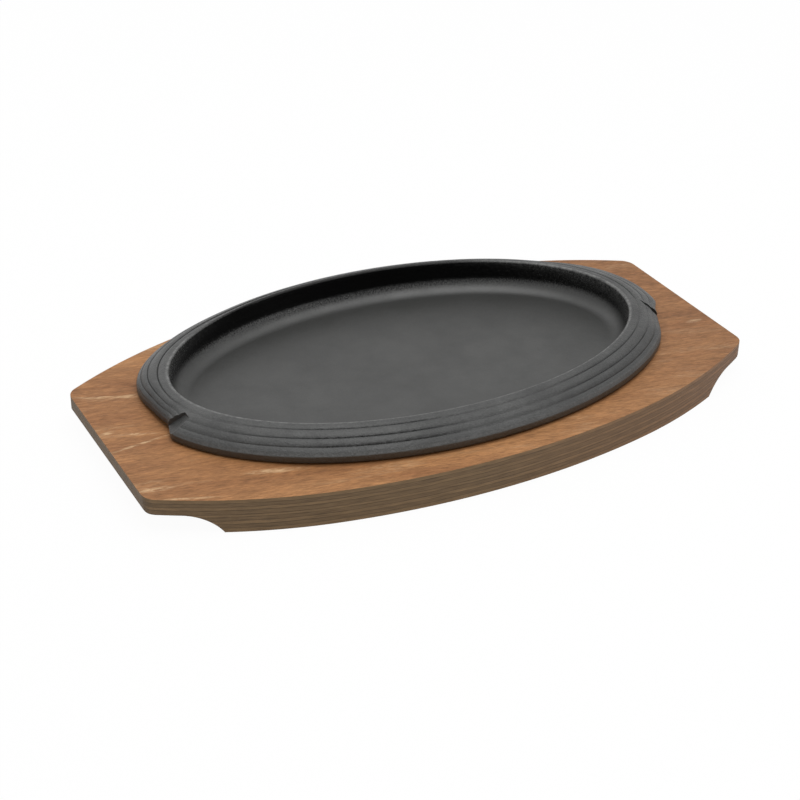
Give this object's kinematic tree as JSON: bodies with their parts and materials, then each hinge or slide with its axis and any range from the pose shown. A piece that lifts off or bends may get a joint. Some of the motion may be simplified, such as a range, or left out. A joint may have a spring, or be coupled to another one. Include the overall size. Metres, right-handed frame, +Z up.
{
  "type": "sizzle platter",
  "caption": "Oval cast-iron dish with a ribbed flange, standing loose in the oval recess of a bow-sided plywood board with tapered finger ends.",
  "frame": {"origin": "middle of the board's underside, on the plane of its two feet", "axes": "+X along the board to the right-hand end, +Y to the back, +Z up"},
  "size_m": [0.345, 0.2038, 0.0309],
  "materials": {
    "iron": "satin, fine sand-cast grain, lightly oiled",
    "plywood": "smooth varnished veneer with ply edges showing"
  },
  "bodies": {
    "root": {"cast_iron_platter": "iron", "wooden_base": "plywood"}
  },
  "joints": []
}
